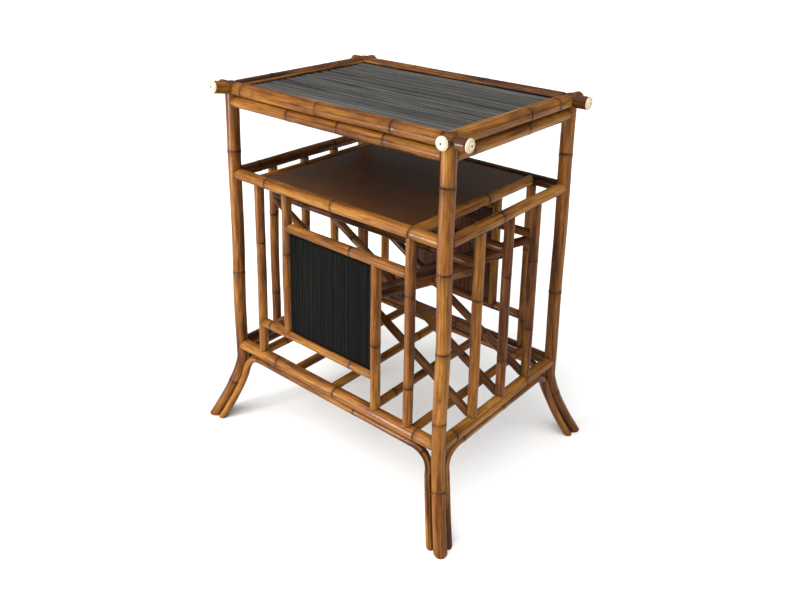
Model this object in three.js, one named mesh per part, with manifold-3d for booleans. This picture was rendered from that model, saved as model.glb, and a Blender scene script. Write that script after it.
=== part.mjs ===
// Bamboo album stand: four splayed posts, a recessed top, a shelf, a pinwheel fretwork with a reeded
// panel on each long side, spindles at the ends, three crossed dividers inside and a bent cane brace
// under each bottom rail. Millimetres, +Z up, origin on the floor under the middle of the stand.
import * as THREE from "three";
import { mergeVertices } from "three/addons/utils/BufferGeometryUtils.js";
import Module from "manifold-3d";

const wasm = await Module();
wasm.setup();

// ---------------------------------------------------------------- driving dimensions
const SPAN_X = 480; // post centre to post centre along the long side, at shelf level
const SPAN_Y = 344; // post centre to post centre along the short side, at shelf level
const LEAN = 0.147; // growth of the plan per metre of height going down, as a share of the span
const TOP_Z = 686.5; // axis of the top canes
const SHELF_Z = 534.5; // axis of the canes around the shelf
const BOTTOM_Z = 174; // axis of the bottom rails
const FOOT_SPLAY = 44; // how far each foot runs outward, along x and along y
const BEND_Z = 145; // height where the posts start to bend outward
const BEND_POWER = 1.4; // how sharply the foot curves

const POST_R = 12.2;
const TOP_CANE_R = 11.5;
const APRON_CANE_R = 10.5;
const SHELF_CANE_R = 10.3;
const SHELF_BEARER_R = 9.5;
const BOTTOM_RAIL_R = 12;
const SPINDLE_R = 9;
const SLAT_R = 8.5;
const DIVIDER_R = 8;
const BRACE_R = 7.5;
const GAP = 0.35; // clearance between touching pieces

const POST_HEAD = 11; // post above the axis of the top canes
const APRON_DROP = 21.7; // apron cane axis below the top cane axis
const STUB_R = 11;
const CAP_R = 10.6;
const CAP_LENGTH = 5.2;
const STUB_REACH = 32; // post axis to the end of a corner stub
const RIGHT_STUB_REACH = 38;
const LONG_STUB_REACH = 44;
const LONG_STUB_LIFT = 7; // rise of the long stub's capped end
const SHORT_STUB_REACH = 22;

const TOP_BOARD_THICKNESS = 8;
const TOP_BOARD_RISE = 3; // top face above the axis of the top canes
const MOULDING_WIDTH = 6;
const MOULDING_RISE = 4.5; // top of the moulding above the board's face
const SHELF_THICKNESS = 10;
const SHELF_RISE = 6; // top face above the axis of the shelf canes
const PANEL_THICKNESS = 6;

const OUTER_STILE = 0.73; // shares of the half span
const INNER_STILE = 0.435;
const UPPER_CROSSBAR_Z = 466;
const LOWER_CROSSBAR_Z = 250;
const END_SPINDLES = [-0.48, 0, 0.48];
const SLATS = [-0.76, -0.38, 0, 0.38, 0.76];
const SLAT_RISE = 2;
const DIVIDER_RAIL_Z = 471;
const DIVIDER_HIGH_Z = 466; // diagonal's axis where it meets the end of its run at a spindle
const DIVIDER_LOW_Z = 184; // diagonal's axis where it reaches the bottom rail
const BRACE_BEND_R = 40;
const FOOT_ROWS = [-20, 5, 35, 65, 90]; // heights where the bent feet have a row of corners

// ---------------------------------------------------------------- places
function growth(z) {
  return 1 + (LEAN * (SHELF_Z - z)) / 1000;
}

// A point on the leaning frame: shares of the half spans, and a height.
function onFrame(shareX, shareY, z) {
  const x = (shareX * SPAN_X * growth(z)) / 2;
  const y = (shareY * SPAN_Y * growth(z)) / 2;
  return new THREE.Vector3(x, y, z);
}

function splay(z) {
  return z > BEND_Z ? 0 : FOOT_SPLAY * ((BEND_Z - z) / BEND_Z) ** BEND_POWER;
}

// A point on a post's axis. sideX and sideY are -1 or 1.
function onPost(sideX, sideY, z) {
  const point = onFrame(sideX, sideY, z);
  point.x += sideX * splay(z);
  point.y += sideY * splay(z);
  return point;
}

// ---------------------------------------------------------------- solids
function solidOf(geometry) {
  const bare = geometry.clone();
  bare.deleteAttribute("normal");
  bare.deleteAttribute("uv");
  const merged = mergeVertices(bare, 1e-4);
  const vertProperties = new Float32Array(merged.attributes.position.array);
  const triVerts = new Uint32Array(merged.index.array);
  return new wasm.Manifold(new wasm.Mesh({ numProp: 3, vertProperties, triVerts }));
}

function geometryOf(solid) {
  const mesh = solid.getMesh();
  const geometry = new THREE.BufferGeometry();
  geometry.setAttribute("position", new THREE.BufferAttribute(mesh.vertProperties, 3));
  geometry.setIndex(new THREE.BufferAttribute(mesh.triVerts, 1));
  geometry.computeVertexNormals();
  return geometry;
}

// Turns a geometry made along +Y so that it runs from start to end.
function aim(geometry, start, end) {
  const along = end.clone().sub(start).normalize();
  const turn = new THREE.Quaternion().setFromUnitVectors(new THREE.Vector3(0, 1, 0), along);
  geometry.applyQuaternion(turn);
  return geometry;
}

// A straight cane is described by its two ends and radius, so that its neighbours can be cut by it.
function cane(start, end, radius, sides = 12) {
  return { start, end, radius, sides };
}

// With a clearance, the flats of the cane clear the round that it stands for by that much.
function caneSolid(piece, clearance = 0) {
  const flats = clearance > 0 ? Math.cos(Math.PI / piece.sides) : 1;
  const radius = (piece.radius + clearance) / flats;
  const length = piece.start.distanceTo(piece.end);
  const geometry = new THREE.CylinderGeometry(radius, radius, length, piece.sides);
  aim(geometry, piece.start, piece.end);
  const middle = piece.start.clone().lerp(piece.end, 0.5);
  geometry.translate(middle.x, middle.y, middle.z);
  return solidOf(geometry);
}

// A cane with its ends coped round the canes that it meets.
function coped(piece, neighbours) {
  let solid = caneSolid(piece);
  for (const neighbour of neighbours) {
    solid = solid.subtract(caneSolid(neighbour, GAP));
  }
  return solid;
}

// A path whose rows of vertices fall exactly on the points, however far apart they are.
class RowPath extends THREE.Curve {
  constructor(points) {
    super();
    this.points = points;
  }

  getPoint(t) {
    const last = this.points.length - 1;
    const index = Math.min(Math.floor(t * last), last - 1);
    return this.points[index].clone().lerp(this.points[index + 1], t * last - index);
  }

  getPointAt(u) {
    return this.getPoint(u);
  }

  getTangentAt(u) {
    return this.getTangent(u);
  }
}

// A cane bent along the points.
function bentCane(points, radius, sides) {
  const outline = [];
  for (let i = 0; i < sides; i += 1) {
    const angle = (2 * Math.PI * i) / sides;
    outline.push(new THREE.Vector2(radius * Math.cos(angle), radius * Math.sin(angle)));
  }
  const shape = new THREE.Shape(outline);
  const extrudePath = new RowPath(points);
  const steps = points.length - 1;
  return solidOf(new THREE.ExtrudeGeometry(shape, { steps, bevelEnabled: false, extrudePath }));
}

function box(lowX, highX, lowY, highY, lowZ, highZ) {
  const geometry = new THREE.BoxGeometry(highX - lowX, highY - lowY, highZ - lowZ);
  geometry.translate((lowX + highX) / 2, (lowY + highY) / 2, (lowZ + highZ) / 2);
  return geometry;
}

// Everything below the floor, to cut the feet level.
function belowFloor() {
  return solidOf(box(-SPAN_X, SPAN_X, -SPAN_Y, SPAN_Y, -SHELF_Z, 0));
}

// ---------------------------------------------------------------- materials and the scene
const bamboo = { color: 0xa4682e, roughness: 0.35, metalness: 0 };
const darkBamboo = { color: 0x6a3c1c, roughness: 0.4, metalness: 0 };
const blackReed = { color: 0x252422, roughness: 0.55, metalness: 0 };
const charcoalReed = { color: 0x55534f, roughness: 0.5, metalness: 0 };
const shelfBrown = { color: 0x3c2819, roughness: 0.4, metalness: 0 };

const stand = new THREE.Group();

function add(name, shape, finish) {
  const geometry = shape.isBufferGeometry ? shape : geometryOf(shape);
  const mesh = new THREE.Mesh(geometry, new THREE.MeshStandardMaterial(finish));
  mesh.name = name;
  stand.add(mesh);
}

// ---------------------------------------------------------------- posts and corner stubs
const CORNERS = [
  {
    name: "front_left",
    sideX: -1,
    sideY: -1,
    reachX: STUB_REACH,
    reachY: LONG_STUB_REACH,
    liftY: LONG_STUB_LIFT,
  },
  { name: "front_right", sideX: 1, sideY: -1, reachX: RIGHT_STUB_REACH, reachY: SHORT_STUB_REACH },
  { name: "back_left", sideX: -1, sideY: 1, reachX: STUB_REACH, reachY: STUB_REACH },
  { name: "back_right", sideX: 1, sideY: 1, reachX: RIGHT_STUB_REACH, reachY: STUB_REACH },
];

// The straight part of a post, used to cope the rails that meet it, and taller than they are.
function postCane(sideX, sideY) {
  const top = onFrame(sideX, sideY, TOP_Z + 2 * TOP_CANE_R);
  return cane(top, onFrame(sideX, sideY, BEND_Z), POST_R, 14);
}

function bentPost(sideX, sideY) {
  const heights = [...FOOT_ROWS, 112, 130, BEND_Z, TOP_Z + POST_HEAD];
  const points = heights.reverse().map((z) => onPost(sideX, sideY, z));
  return bentCane(points, POST_R, 14).subtract(belowFloor());
}

// The two short stubs on the outside of a post, each without its cap.
function stubCanes({ sideX, sideY, reachX, reachY, liftY = 0 }) {
  const axis = onFrame(sideX, sideY, TOP_Z);
  const endX = axis.clone();
  endX.x += sideX * (reachX - CAP_LENGTH);
  const endY = axis.clone();
  endY.y += sideY * (reachY - CAP_LENGTH);
  endY.z += liftY;
  return [cane(axis, endX, STUB_R), cane(axis, endY, STUB_R)];
}

// A stub closed by its domed cap. The profile is a radius as a share of the cap's, and a distance.
function cappedStub(shank) {
  const profile = [[0, -1], [1, -1], [1, 2.4], [0.75, 4.2], [0.38, 5], [0, CAP_LENGTH]];
  const outline = profile.map(([share, along]) => new THREE.Vector2(share * CAP_R, along));
  const cap = aim(new THREE.LatheGeometry(outline, 16), shank.start, shank.end);
  cap.translate(shank.end.x, shank.end.y, shank.end.z);
  return caneSolid(shank).add(solidOf(cap));
}

function addPosts() {
  for (const corner of CORNERS) {
    const [alongX, alongY] = stubCanes(corner).map(cappedStub);
    const post = bentPost(corner.sideX, corner.sideY);
    add("post_" + corner.name, post.add(alongX).add(alongY), bamboo);
  }
}

// ---------------------------------------------------------------- rails from post to post
const SIDES = [
  { name: "front", ends: [[-1, -1], [1, -1]] },
  { name: "back", ends: [[-1, 1], [1, 1]] },
  { name: "left", ends: [[-1, -1], [-1, 1]] },
  { name: "right", ends: [[1, -1], [1, 1]] },
];

function sideCane(side, z, radius) {
  const [start, end] = side.ends;
  return cane(onFrame(start[0], start[1], z), onFrame(end[0], end[1], z), radius);
}

function sidePosts(side) {
  return side.ends.map(([sideX, sideY]) => postCane(sideX, sideY));
}

// Four canes at one height, by side name, for use as neighbours too.
function ring(z, radius) {
  return Object.fromEntries(SIDES.map((side) => [side.name, sideCane(side, z, radius)]));
}

const topCanes = ring(TOP_Z, TOP_CANE_R);
const apronCanes = ring(TOP_Z - APRON_DROP, APRON_CANE_R);
const shelfCanes = ring(SHELF_Z, SHELF_CANE_R);
const bottomRails = ring(BOTTOM_Z, BOTTOM_RAIL_R);

// The canes on the short sides are coped round those on the long sides as well.
function longCanes(side, canes) {
  return side.name === "left" || side.name === "right" ? [canes.front, canes.back] : [];
}

function addRails() {
  for (const side of SIDES) {
    const posts = sidePosts(side);
    const stubs = CORNERS.filter((corner) => corner.name.includes(side.name)).flatMap(stubCanes);
    const overhead = [...longCanes(side, topCanes), ...longCanes(side, apronCanes)];
    const topNeighbours = [...posts, ...stubs, ...overhead];
    const topCane = coped(topCanes[side.name], topNeighbours);
    const pair = topCane.add(coped(apronCanes[side.name], topNeighbours));
    add("top_rail_" + side.name, pair, bamboo);
    const shelfCane = coped(shelfCanes[side.name], [...posts, ...longCanes(side, shelfCanes)]);
    add("shelf_rail_" + side.name, shelfCane, bamboo);
    const bottomRail = coped(bottomRails[side.name], [...posts, ...longCanes(side, bottomRails)]);
    add("bottom_rail_" + side.name, bottomRail, bamboo);
  }
}

// ---------------------------------------------------------------- top board and moulding
// The board lies inside the top canes, and the moulding is the raised edge between the two.
function addTop() {
  const outerX = onFrame(1, 1, TOP_Z).x - TOP_CANE_R - GAP;
  const outerY = onFrame(1, 1, TOP_Z).y - TOP_CANE_R - GAP;
  const innerX = outerX - MOULDING_WIDTH;
  const innerY = outerY - MOULDING_WIDTH;
  const face = TOP_Z + TOP_BOARD_RISE;
  const low = face - TOP_BOARD_THICKNESS;
  const high = face + MOULDING_RISE;
  const outer = solidOf(box(-outerX, outerX, -outerY, outerY, low, high));
  const hole = solidOf(box(-innerX, innerX, -innerY, innerY, low - 1, high + 1));
  add("top_moulding", outer.subtract(hole), bamboo);

  const halfX = innerX - GAP;
  const halfY = innerY - GAP;
  add("top_board", box(-halfX, halfX, -halfY, halfY, low, face), charcoalReed);
}

// ---------------------------------------------------------------- fretwork on the long sides
// One long side as a pinwheel of canes round a panel. facing is -1 for the front and 1 for the back,
// which is the front turned half round about the vertical axis.
function fretwork(facing) {
  const place = (share, z) => onFrame(-facing * share, facing, z);
  const upright = (share, low, high) => cane(place(share, low), place(share, high), SPINDLE_R);
  const crossbar = (z, from, to) => cane(place(from, z), place(to, z), SPINDLE_R);
  return {
    outer_stile_a: upright(-OUTER_STILE, BOTTOM_Z, SHELF_Z),
    outer_stile_b: upright(OUTER_STILE, BOTTOM_Z, SHELF_Z),
    inner_stile_a: upright(-INNER_STILE, LOWER_CROSSBAR_Z, SHELF_Z),
    inner_stile_b: upright(INNER_STILE, BOTTOM_Z, UPPER_CROSSBAR_Z),
    lower_crossbar: crossbar(LOWER_CROSSBAR_Z, -OUTER_STILE, INNER_STILE),
    upper_crossbar: crossbar(UPPER_CROSSBAR_Z, -INNER_STILE, OUTER_STILE),
  };
}

function fretworkSolids(canes, rails) {
  return {
    outer_stile_a: coped(canes.outer_stile_a, rails),
    outer_stile_b: coped(canes.outer_stile_b, rails),
    inner_stile_a: coped(canes.inner_stile_a, [...rails, canes.lower_crossbar]),
    inner_stile_b: coped(canes.inner_stile_b, [...rails, canes.upper_crossbar]),
    lower_crossbar: coped(canes.lower_crossbar, [canes.outer_stile_a, canes.inner_stile_b]),
    upper_crossbar: coped(canes.upper_crossbar, [canes.outer_stile_b, canes.inner_stile_a]),
  };
}

// A thin reeded panel that leans with the frame and fills the middle of the pinwheel.
function panel(facing) {
  const low = LOWER_CROSSBAR_Z + SPINDLE_R + GAP;
  const high = UPPER_CROSSBAR_Z - SPINDLE_R - GAP;
  const geometry = new THREE.BoxGeometry(2, PANEL_THICKNESS, high - low);
  geometry.translate(0, 0, (low + high) / 2);
  const position = geometry.attributes.position;
  for (let i = 0; i < position.count; i += 1) {
    const z = position.getZ(i);
    const edge = onFrame(INNER_STILE, facing, z);
    position.setX(i, position.getX(i) * (edge.x - SPINDLE_R - GAP));
    position.setY(i, position.getY(i) + edge.y);
  }
  return geometry;
}

const fretCanes = { front: fretwork(-1), back: fretwork(1) };

function addFretwork() {
  for (const [name, facing] of [["front", -1], ["back", 1]]) {
    const rails = [shelfCanes[name], bottomRails[name]];
    const solids = fretworkSolids(fretCanes[name], rails);
    for (const [part, solid] of Object.entries(solids)) {
      add(name + "_" + part, solid, bamboo);
    }
    add(name + "_panel", panel(facing), blackReed);
  }
}

// ---------------------------------------------------------------- shelf
function addShelf() {
  for (const [name, share] of [["left", -OUTER_STILE], ["right", OUTER_STILE]]) {
    const bearer = cane(onFrame(share, -1, SHELF_Z), onFrame(share, 1, SHELF_Z), SHELF_BEARER_R);
    const stiles = ["front", "back"].flatMap((side) => {
      return [fretCanes[side].outer_stile_a, fretCanes[side].outer_stile_b];
    });
    const neighbours = [shelfCanes.front, shelfCanes.back, ...stiles];
    add("shelf_bearer_" + name, coped(bearer, neighbours), bamboo);
  }
  const halfX = onFrame(OUTER_STILE, 1, SHELF_Z).x - SHELF_BEARER_R - GAP;
  const halfY = onFrame(1, 1, SHELF_Z).y - SHELF_CANE_R - GAP;
  const face = SHELF_Z + SHELF_RISE;
  add("shelf_board", box(-halfX, halfX, -halfY, halfY, face - SHELF_THICKNESS, face), shelfBrown);
}

// ---------------------------------------------------------------- spindles at the short ends
function endSpindle(sideX, shareY) {
  const low = onFrame(sideX, shareY, BOTTOM_Z);
  return cane(low, onFrame(sideX, shareY, SHELF_Z), SPINDLE_R);
}

function addEndSpindles() {
  for (const [name, sideX] of [["left", -1], ["right", 1]]) {
    END_SPINDLES.forEach((shareY, index) => {
      const solid = coped(endSpindle(sideX, shareY), [shelfCanes[name], bottomRails[name]]);
      add("spindle_" + name + "_" + (index + 1), solid, bamboo);
    });
  }
}

// ---------------------------------------------------------------- slats across the bottom
function addSlats() {
  const stiles = ["front", "back"].flatMap((side) => {
    const { outer_stile_a: a, outer_stile_b: b, inner_stile_b: c } = fretCanes[side];
    return [a, b, c];
  });
  SLATS.forEach((share, index) => {
    const start = onFrame(share, -1, BOTTOM_Z);
    const end = onFrame(share, 1, BOTTOM_Z);
    start.z += SLAT_RISE;
    end.z += SLAT_RISE;
    const neighbours = [bottomRails.front, bottomRails.back, ...stiles];
    add("slat_" + (index + 1), coped(cane(start, end, SLAT_R), neighbours), bamboo);
  });
}

// ---------------------------------------------------------------- crossed dividers
// Everything on one side of a vertical plane across y, used to cut a half lap.
function beyond(y, direction) {
  const low = direction > 0 ? y : y - SPAN_Y;
  return solidOf(box(-SPAN_X, SPAN_X, low, low + SPAN_Y, 0, TOP_Z));
}

function addDividers() {
  END_SPINDLES.forEach((shareY, index) => {
    const left = endSpindle(-1, shareY);
    const right = endSpindle(1, shareY);
    const at = (sideX, z) => onFrame(sideX, shareY, z);
    const rail = cane(at(-1, DIVIDER_RAIL_Z), at(1, DIVIDER_RAIL_Z), DIVIDER_R);
    const falling = cane(at(-1, DIVIDER_HIGH_Z), at(1, DIVIDER_LOW_Z), DIVIDER_R);
    const rising = cane(at(-1, DIVIDER_LOW_Z), at(1, DIVIDER_HIGH_Z), DIVIDER_R);
    const neighbours = [left, right, rail, bottomRails.left, bottomRails.right];
    const crossY = at(0, (DIVIDER_HIGH_Z + DIVIDER_LOW_Z) / 2).y;
    const backHalf = caneSolid(rising, GAP).intersect(beyond(crossY - GAP / 2, 1));
    const frontHalf = caneSolid(falling, GAP).intersect(beyond(crossY + GAP / 2, -1));
    const number = index + 1;
    add("divider_rail_" + number, coped(rail, [left, right]), darkBamboo);
    add("divider_falling_" + number, coped(falling, neighbours).subtract(backHalf), darkBamboo);
    add("divider_rising_" + number, coped(rising, neighbours).subtract(frontHalf), darkBamboo);
  });
}

// ---------------------------------------------------------------- bent braces
// One cane per side: down beside a post, round under the bottom rail and down beside the other post.
function addBraces() {
  const spacing = POST_R + BRACE_R + GAP;
  const ridgeZ = BOTTOM_Z - BOTTOM_RAIL_R - BRACE_R - GAP;
  const bendZ = ridgeZ - BRACE_BEND_R;
  const quarter = Math.PI / 2;
  const turns = [0, 0.25, 0.5, 0.75, 1];
  for (const side of SIDES) {
    const alongX = side.name === "front" || side.name === "back";
    const axis = alongX ? "x" : "y";
    const across = alongX ? "y" : "x";
    // A point beside the post, moved along the rail until the two canes just clear.
    const beside = ([sideX, sideY], z, more = 0) => {
      const point = onPost(sideX, sideY, z);
      const tangent = onPost(sideX, sideY, z + 1).sub(onPost(sideX, sideY, z - 1)).normalize();
      const offset = spacing / Math.sqrt(1 - tangent[axis] ** 2) + more;
      point[axis] -= Math.sign(point[axis]) * offset;
      return point;
    };
    const half = (corner) => {
      const points = FOOT_ROWS.map((z) => beside(corner, z));
      for (const turn of turns) {
        const inward = BRACE_BEND_R * (1 - Math.cos(turn * quarter));
        const z = bendZ + BRACE_BEND_R * Math.sin(turn * quarter);
        const point = beside(corner, bendZ, inward);
        point[across] = onPost(...corner, z)[across];
        point.z = z;
        points.push(point);
      }
      return points;
    };
    const first = half(side.ends[0]);
    const second = half(side.ends[1]).reverse();
    const solid = bentCane([...first, ...second], BRACE_R, 10).subtract(belowFloor());
    add("brace_" + side.name, solid, bamboo);
  }
}

addPosts();
addRails();
addTop();
addFretwork();
addShelf();
addEndSpindles();
addSlats();
addDividers();
addBraces();

export default stand;
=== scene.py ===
"""Bamboo album stand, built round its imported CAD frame. Metres, +Z up, the front is -Y.

Every cane is its own piece: a tube with node rings, a slight bow and ends coped round its neighbours.
Reeds, mouldings, caps and boards are built the same way, in mesh code, from places read off the frame.
"""

import math
import random

import bpy
import numpy as np
from mathutils import Matrix, Vector


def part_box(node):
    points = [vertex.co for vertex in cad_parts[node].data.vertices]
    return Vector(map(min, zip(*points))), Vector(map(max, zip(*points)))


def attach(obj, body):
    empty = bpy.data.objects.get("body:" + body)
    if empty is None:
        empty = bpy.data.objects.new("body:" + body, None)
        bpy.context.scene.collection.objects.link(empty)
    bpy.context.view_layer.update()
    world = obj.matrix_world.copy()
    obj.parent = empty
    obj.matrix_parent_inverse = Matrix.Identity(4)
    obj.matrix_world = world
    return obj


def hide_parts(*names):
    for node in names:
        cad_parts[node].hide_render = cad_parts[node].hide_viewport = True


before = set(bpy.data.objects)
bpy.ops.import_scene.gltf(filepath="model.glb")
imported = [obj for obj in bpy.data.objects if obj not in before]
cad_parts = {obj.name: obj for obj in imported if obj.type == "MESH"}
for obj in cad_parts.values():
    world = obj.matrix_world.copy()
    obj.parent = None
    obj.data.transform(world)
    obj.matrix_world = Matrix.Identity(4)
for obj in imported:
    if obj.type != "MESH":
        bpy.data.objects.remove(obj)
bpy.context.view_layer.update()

# ------------------------------------------------------------------ sizes that the boxes don't give
POST_R = 0.0122
APRON_R = 0.0105
BRACE_R = 0.0075
STUB_R = 0.0110
CAP_LENGTH = 0.0052
GAP = 0.0003
FOOT_SPLAY = 0.044
BEND_Z = 0.145
BEND_POWER = 1.4
BRACE_BEND_R = 0.040
STUB_REACH = {
    "front_left": (0.032, 0.044),
    "front_right": (0.038, 0.022),
    "back_left": (0.032, 0.032),
    "back_right": (0.038, 0.032),
}
LONG_STUB_LIFT = 0.007  # rise of the capped end of the long stub, on the front left corner along y
TOP_REED_GAPS = (0.0006, 0.0010, 0.0016, 0.0024, 0.0034, 0.0044)
PANEL_REED_GAPS = (0.0001, 0.0001, 0.0001, 0.0002, 0.0003, 0.0008)
TOP_REED = 0.0045  # thickness of the top's reeds
PANEL_REED = 0.0024  # thickness of the reeds on each face of a panel
MOULDING_TUCK = 0.0005  # how far the moulding is pressed against the top canes
DIVIDER_HIGH_Z = 0.466
DIVIDER_LOW_Z = 0.184
VISIBLE_SHARE = 0.985  # a cane's drawn radius, so that its node rings reach the CAD radius
# How a cane's end is rounded: over what length, and the share of the radius lost at the very end.
PLAIN_END = (0.0018, 0.16)
HEAD_END = (0.0065, 0.55)
FOOT_END = (0.0045, 0.30)

# How finely a cane is drawn: points round it, and the distances between its rows of points.
CANE_SIDES = 28
ROW_STEP = 0.006
CLOSEST_ROWS = 0.00028
END_ROWS = (0.0003, 0.0008, 0.0016, 0.0028, 0.0045)
LAP_HALF = 0.026  # how far to each side of a half lap the rows lie LAP_STEP apart
LAP_STEP = 0.0012
COPE_REACH = 0.06  # the deepest that an end is cut round its neighbour
COPE_BLEND = 2.2  # how far in from a cut end its lines slide, over the cane's radius or the cut's depth
TURN = 2 * math.pi

# How much paler (above zero) or darker canes are made. The left and back ones are the darkest.
TONE_SPREAD = 0.08  # how far one cane differs from the next
# Painted shade and light: left and back canes, facing the shade inside the stand, are darkened; front and
# right ones are a little paler.
SIDE_SHADING_TONES = {"front": 0.02, "back": -0.26, "left": -0.28, "right": 0.04}
# The corner posts are darker, the left ones most.
CORNER_TONES = {"front_left": -0.24, "front_right": -0.06, "back_left": -0.26, "back_right": -0.10}
# Stubs, spindles, slats and braces are stained darker.
STUB_TONE = -0.16
SPINDLE_TONE = -0.08
SLAT_TONE = -0.06
BRACE_TONE = -0.12
MOULDING_TONE = 0.18


# ------------------------------------------------------------------ places read from the frame
def centre(node):
    low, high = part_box(node)
    return (low + high) / 2


def size(node):
    low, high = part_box(node)
    return high - low


SHELF_Z = centre("shelf_rail_front").z
BOTTOM_Z = centre("bottom_rail_front").z
HALF_AT_SHELF = (centre("shelf_rail_right").x, centre("shelf_rail_back").y)
HALF_AT_BOTTOM = (centre("bottom_rail_right").x, centre("bottom_rail_back").y)
TOP_CANE_R = size("top_rail_front").y / 2
SHELF_CANE_R = size("shelf_rail_front").z / 2
BEARER_R = size("shelf_bearer_left").z / 2
BOTTOM_RAIL_R = size("bottom_rail_front").z / 2
SPINDLE_R = size("front_lower_crossbar").z / 2
SLAT_R = size("slat_3").z / 2
DIVIDER_R = size("divider_rail_1").z / 2
TOP_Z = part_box("top_rail_front")[1].z - TOP_CANE_R
APRON_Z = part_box("top_rail_front")[0].z + APRON_R
LOWER_CROSSBAR_Z = centre("front_lower_crossbar").z
UPPER_CROSSBAR_Z = centre("front_upper_crossbar").z
DIVIDER_RAIL_Z = centre("divider_rail_1").z
HEAD_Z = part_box("post_back_left")[1].z


def half_span(axis, z):
    """Half the distance between the posts' axes along x (0) or y (1), which grows towards the floor."""
    share = (SHELF_Z - z) / (SHELF_Z - BOTTOM_Z)
    return HALF_AT_SHELF[axis] + (HALF_AT_BOTTOM[axis] - HALF_AT_SHELF[axis]) * share


def on_frame(share_x, share_y, z):
    return Vector((share_x * half_span(0, z), share_y * half_span(1, z), z))


def share_of(node, axis):
    """Where a node's middle lies across the frame, as a share of the half span at its height."""
    middle = centre(node)
    return middle[axis] / half_span(axis, middle.z)


OUTER_STILE = share_of("front_outer_stile_b", 0)
INNER_STILE = share_of("front_inner_stile_b", 0)
END_SPINDLES = [share_of(f"spindle_right_{i}", 1) for i in (1, 2, 3)]


def splay(z):
    return FOOT_SPLAY * max(0.0, (BEND_Z - z) / BEND_Z) ** BEND_POWER


def on_post(side_x, side_y, z):
    point = on_frame(side_x, side_y, z)
    point.x += side_x * splay(z)
    point.y += side_y * splay(z)
    return point


# ------------------------------------------------------------------ node rings
# Where the rings stand on the canes that show them best: a height on an upright, x or y on a rail.
RINGS = {
    "post_front_right_cane": (0.620, 0.487, 0.353, 0.222, 0.092),
    "post_front_left_cane": (0.577, 0.336, 0.085),
    "post_back_right_cane": (0.596, 0.330, 0.100),
    "post_back_left_cane": (0.640, 0.410, 0.190),
    "top_cane_front": (-0.200, -0.020, 0.135),
    "apron_cane_front": (-0.088, 0.025, 0.121),
    "top_cane_right": (0.031, 0.117),
    "apron_cane_right": (-0.120, 0.030),
    "shelf_cane_front": (-0.150, 0.010, 0.176),
    "shelf_cane_right": (-0.029,),
    "bearer_right": (0.024,),
    "upper_crossbar_front": (0.052,),
    "lower_crossbar_front": (-0.155, 0.053),
    "outer_stile_a_front": (0.419, 0.250),
    "outer_stile_b_front": (0.430, 0.262),
    "inner_stile_a_front": (0.416,),
    "inner_stile_b_front": (0.314,),
    "spindle_right_1_cane": (0.412,),
    "bottom_cane_front": (-0.140, 0.015, 0.205),
    "bottom_cane_right": (-0.142, 0.081),
    "brace_front_cane": (-0.200, 0.062, 0.222),
}
RING_ROWS_MM = (-14, -9, -6, -4, -2.8, -2.0, -1.5, -1.0, -0.5, 0, 0.7, 1.6, 3, 5, 8, 12)


def ring_places(name, low, high, rng):
    """Ring places between low and high, from the list above or at the cane's own random spacing."""
    if name in RINGS:
        return [place for place in RINGS[name] if low < place < high]
    places = []
    place = low + rng.uniform(0.05, 0.14)
    while place < high - 0.035:
        places.append(place)
        place += rng.uniform(0.12, 0.21)
    return places


# ------------------------------------------------------------------ mesh helpers
def put_in_scene(name, data):
    made = bpy.data.objects.new(name, data)
    bpy.context.scene.collection.objects.link(made)
    return made


def make_object(name, vertices, faces, smooth=True):
    mesh = bpy.data.meshes.new(name)
    mesh.from_pydata([tuple(v) for v in vertices], [], faces)
    mesh.validate()
    mesh.polygons.foreach_set("use_smooth", [smooth] * len(mesh.polygons))
    return put_in_scene(name, mesh)


def band_faces(bands, count, first=0, flip=False):
    """The quads between successive closed rings of count points, from vertex number first on."""
    faces = []
    for band in range(bands):
        a = first + band * count
        b = a + count
        for k in range(count):
            n = (k + 1) % count
            faces.append((a + k, b + k, b + n, a + n) if flip else (a + k, a + n, b + n, b + k))
    return faces


def fan_faces(middle, first, count, flip=False):
    """The triangles between one vertex and the closed ring that starts at first."""
    pairs = [(first + k, first + (k + 1) % count) for k in range(count)]
    return [(middle, n, k) if flip else (middle, k, n) for k, n in pairs]


def loft_faces(bands, count, first=0, flip=False):
    """Band faces and the two flat ends that close them."""
    ends = [[first + k for k in range(count)], [first + bands * count + k for k in range(count)]]
    ends[1 if flip else 0].reverse()
    return band_faces(bands, count, first, flip) + [tuple(end) for end in ends]


def paint(piece, name, values):
    """Gives every vertex a number or a vector that the materials read by name."""
    values = np.asarray(values, np.float32)
    kind, field = ("FLOAT_VECTOR", "vector") if values.ndim == 2 else ("FLOAT", "value")
    layer = piece.data.attributes.new(name, kind, "POINT")
    layer.data.foreach_set(field, values.ravel())


def finish_piece(piece, material, replaced=()):
    piece.data.materials.append(material)
    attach(piece, "root")
    if replaced:
        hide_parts(*replaced)


# ------------------------------------------------------------------ canes
def straight(start, end, radius):
    """A straight cane's axis and radius, for drawing it and for coping others round it."""
    return {"start": Vector(start), "end": Vector(end), "radius": radius}


def hit_from(point, direction, cutter):
    """How far along a line it leaves the cutter's surface, or None if it misses the cutter."""
    along = (cutter["end"] - cutter["start"]).normalized()
    offset = point - cutter["start"]
    flat_d = direction - along * direction.dot(along)
    flat_o = offset - along * offset.dot(along)
    a = flat_d.length_squared
    if a < 1e-9:
        return None
    b = 2 * flat_d.dot(flat_o)
    c = flat_o.length_squared - (cutter["radius"] + GAP) ** 2
    root = b * b - 4 * a * c
    if root < 0:
        return None
    leaves = (-b + math.sqrt(root)) / (2 * a)
    place = (point + direction * leaves - cutter["start"]).dot(along)
    inside = -0.001 < place < (cutter["end"] - cutter["start"]).length + 0.001
    return leaves if inside and abs(leaves) < COPE_REACH else None


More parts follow.
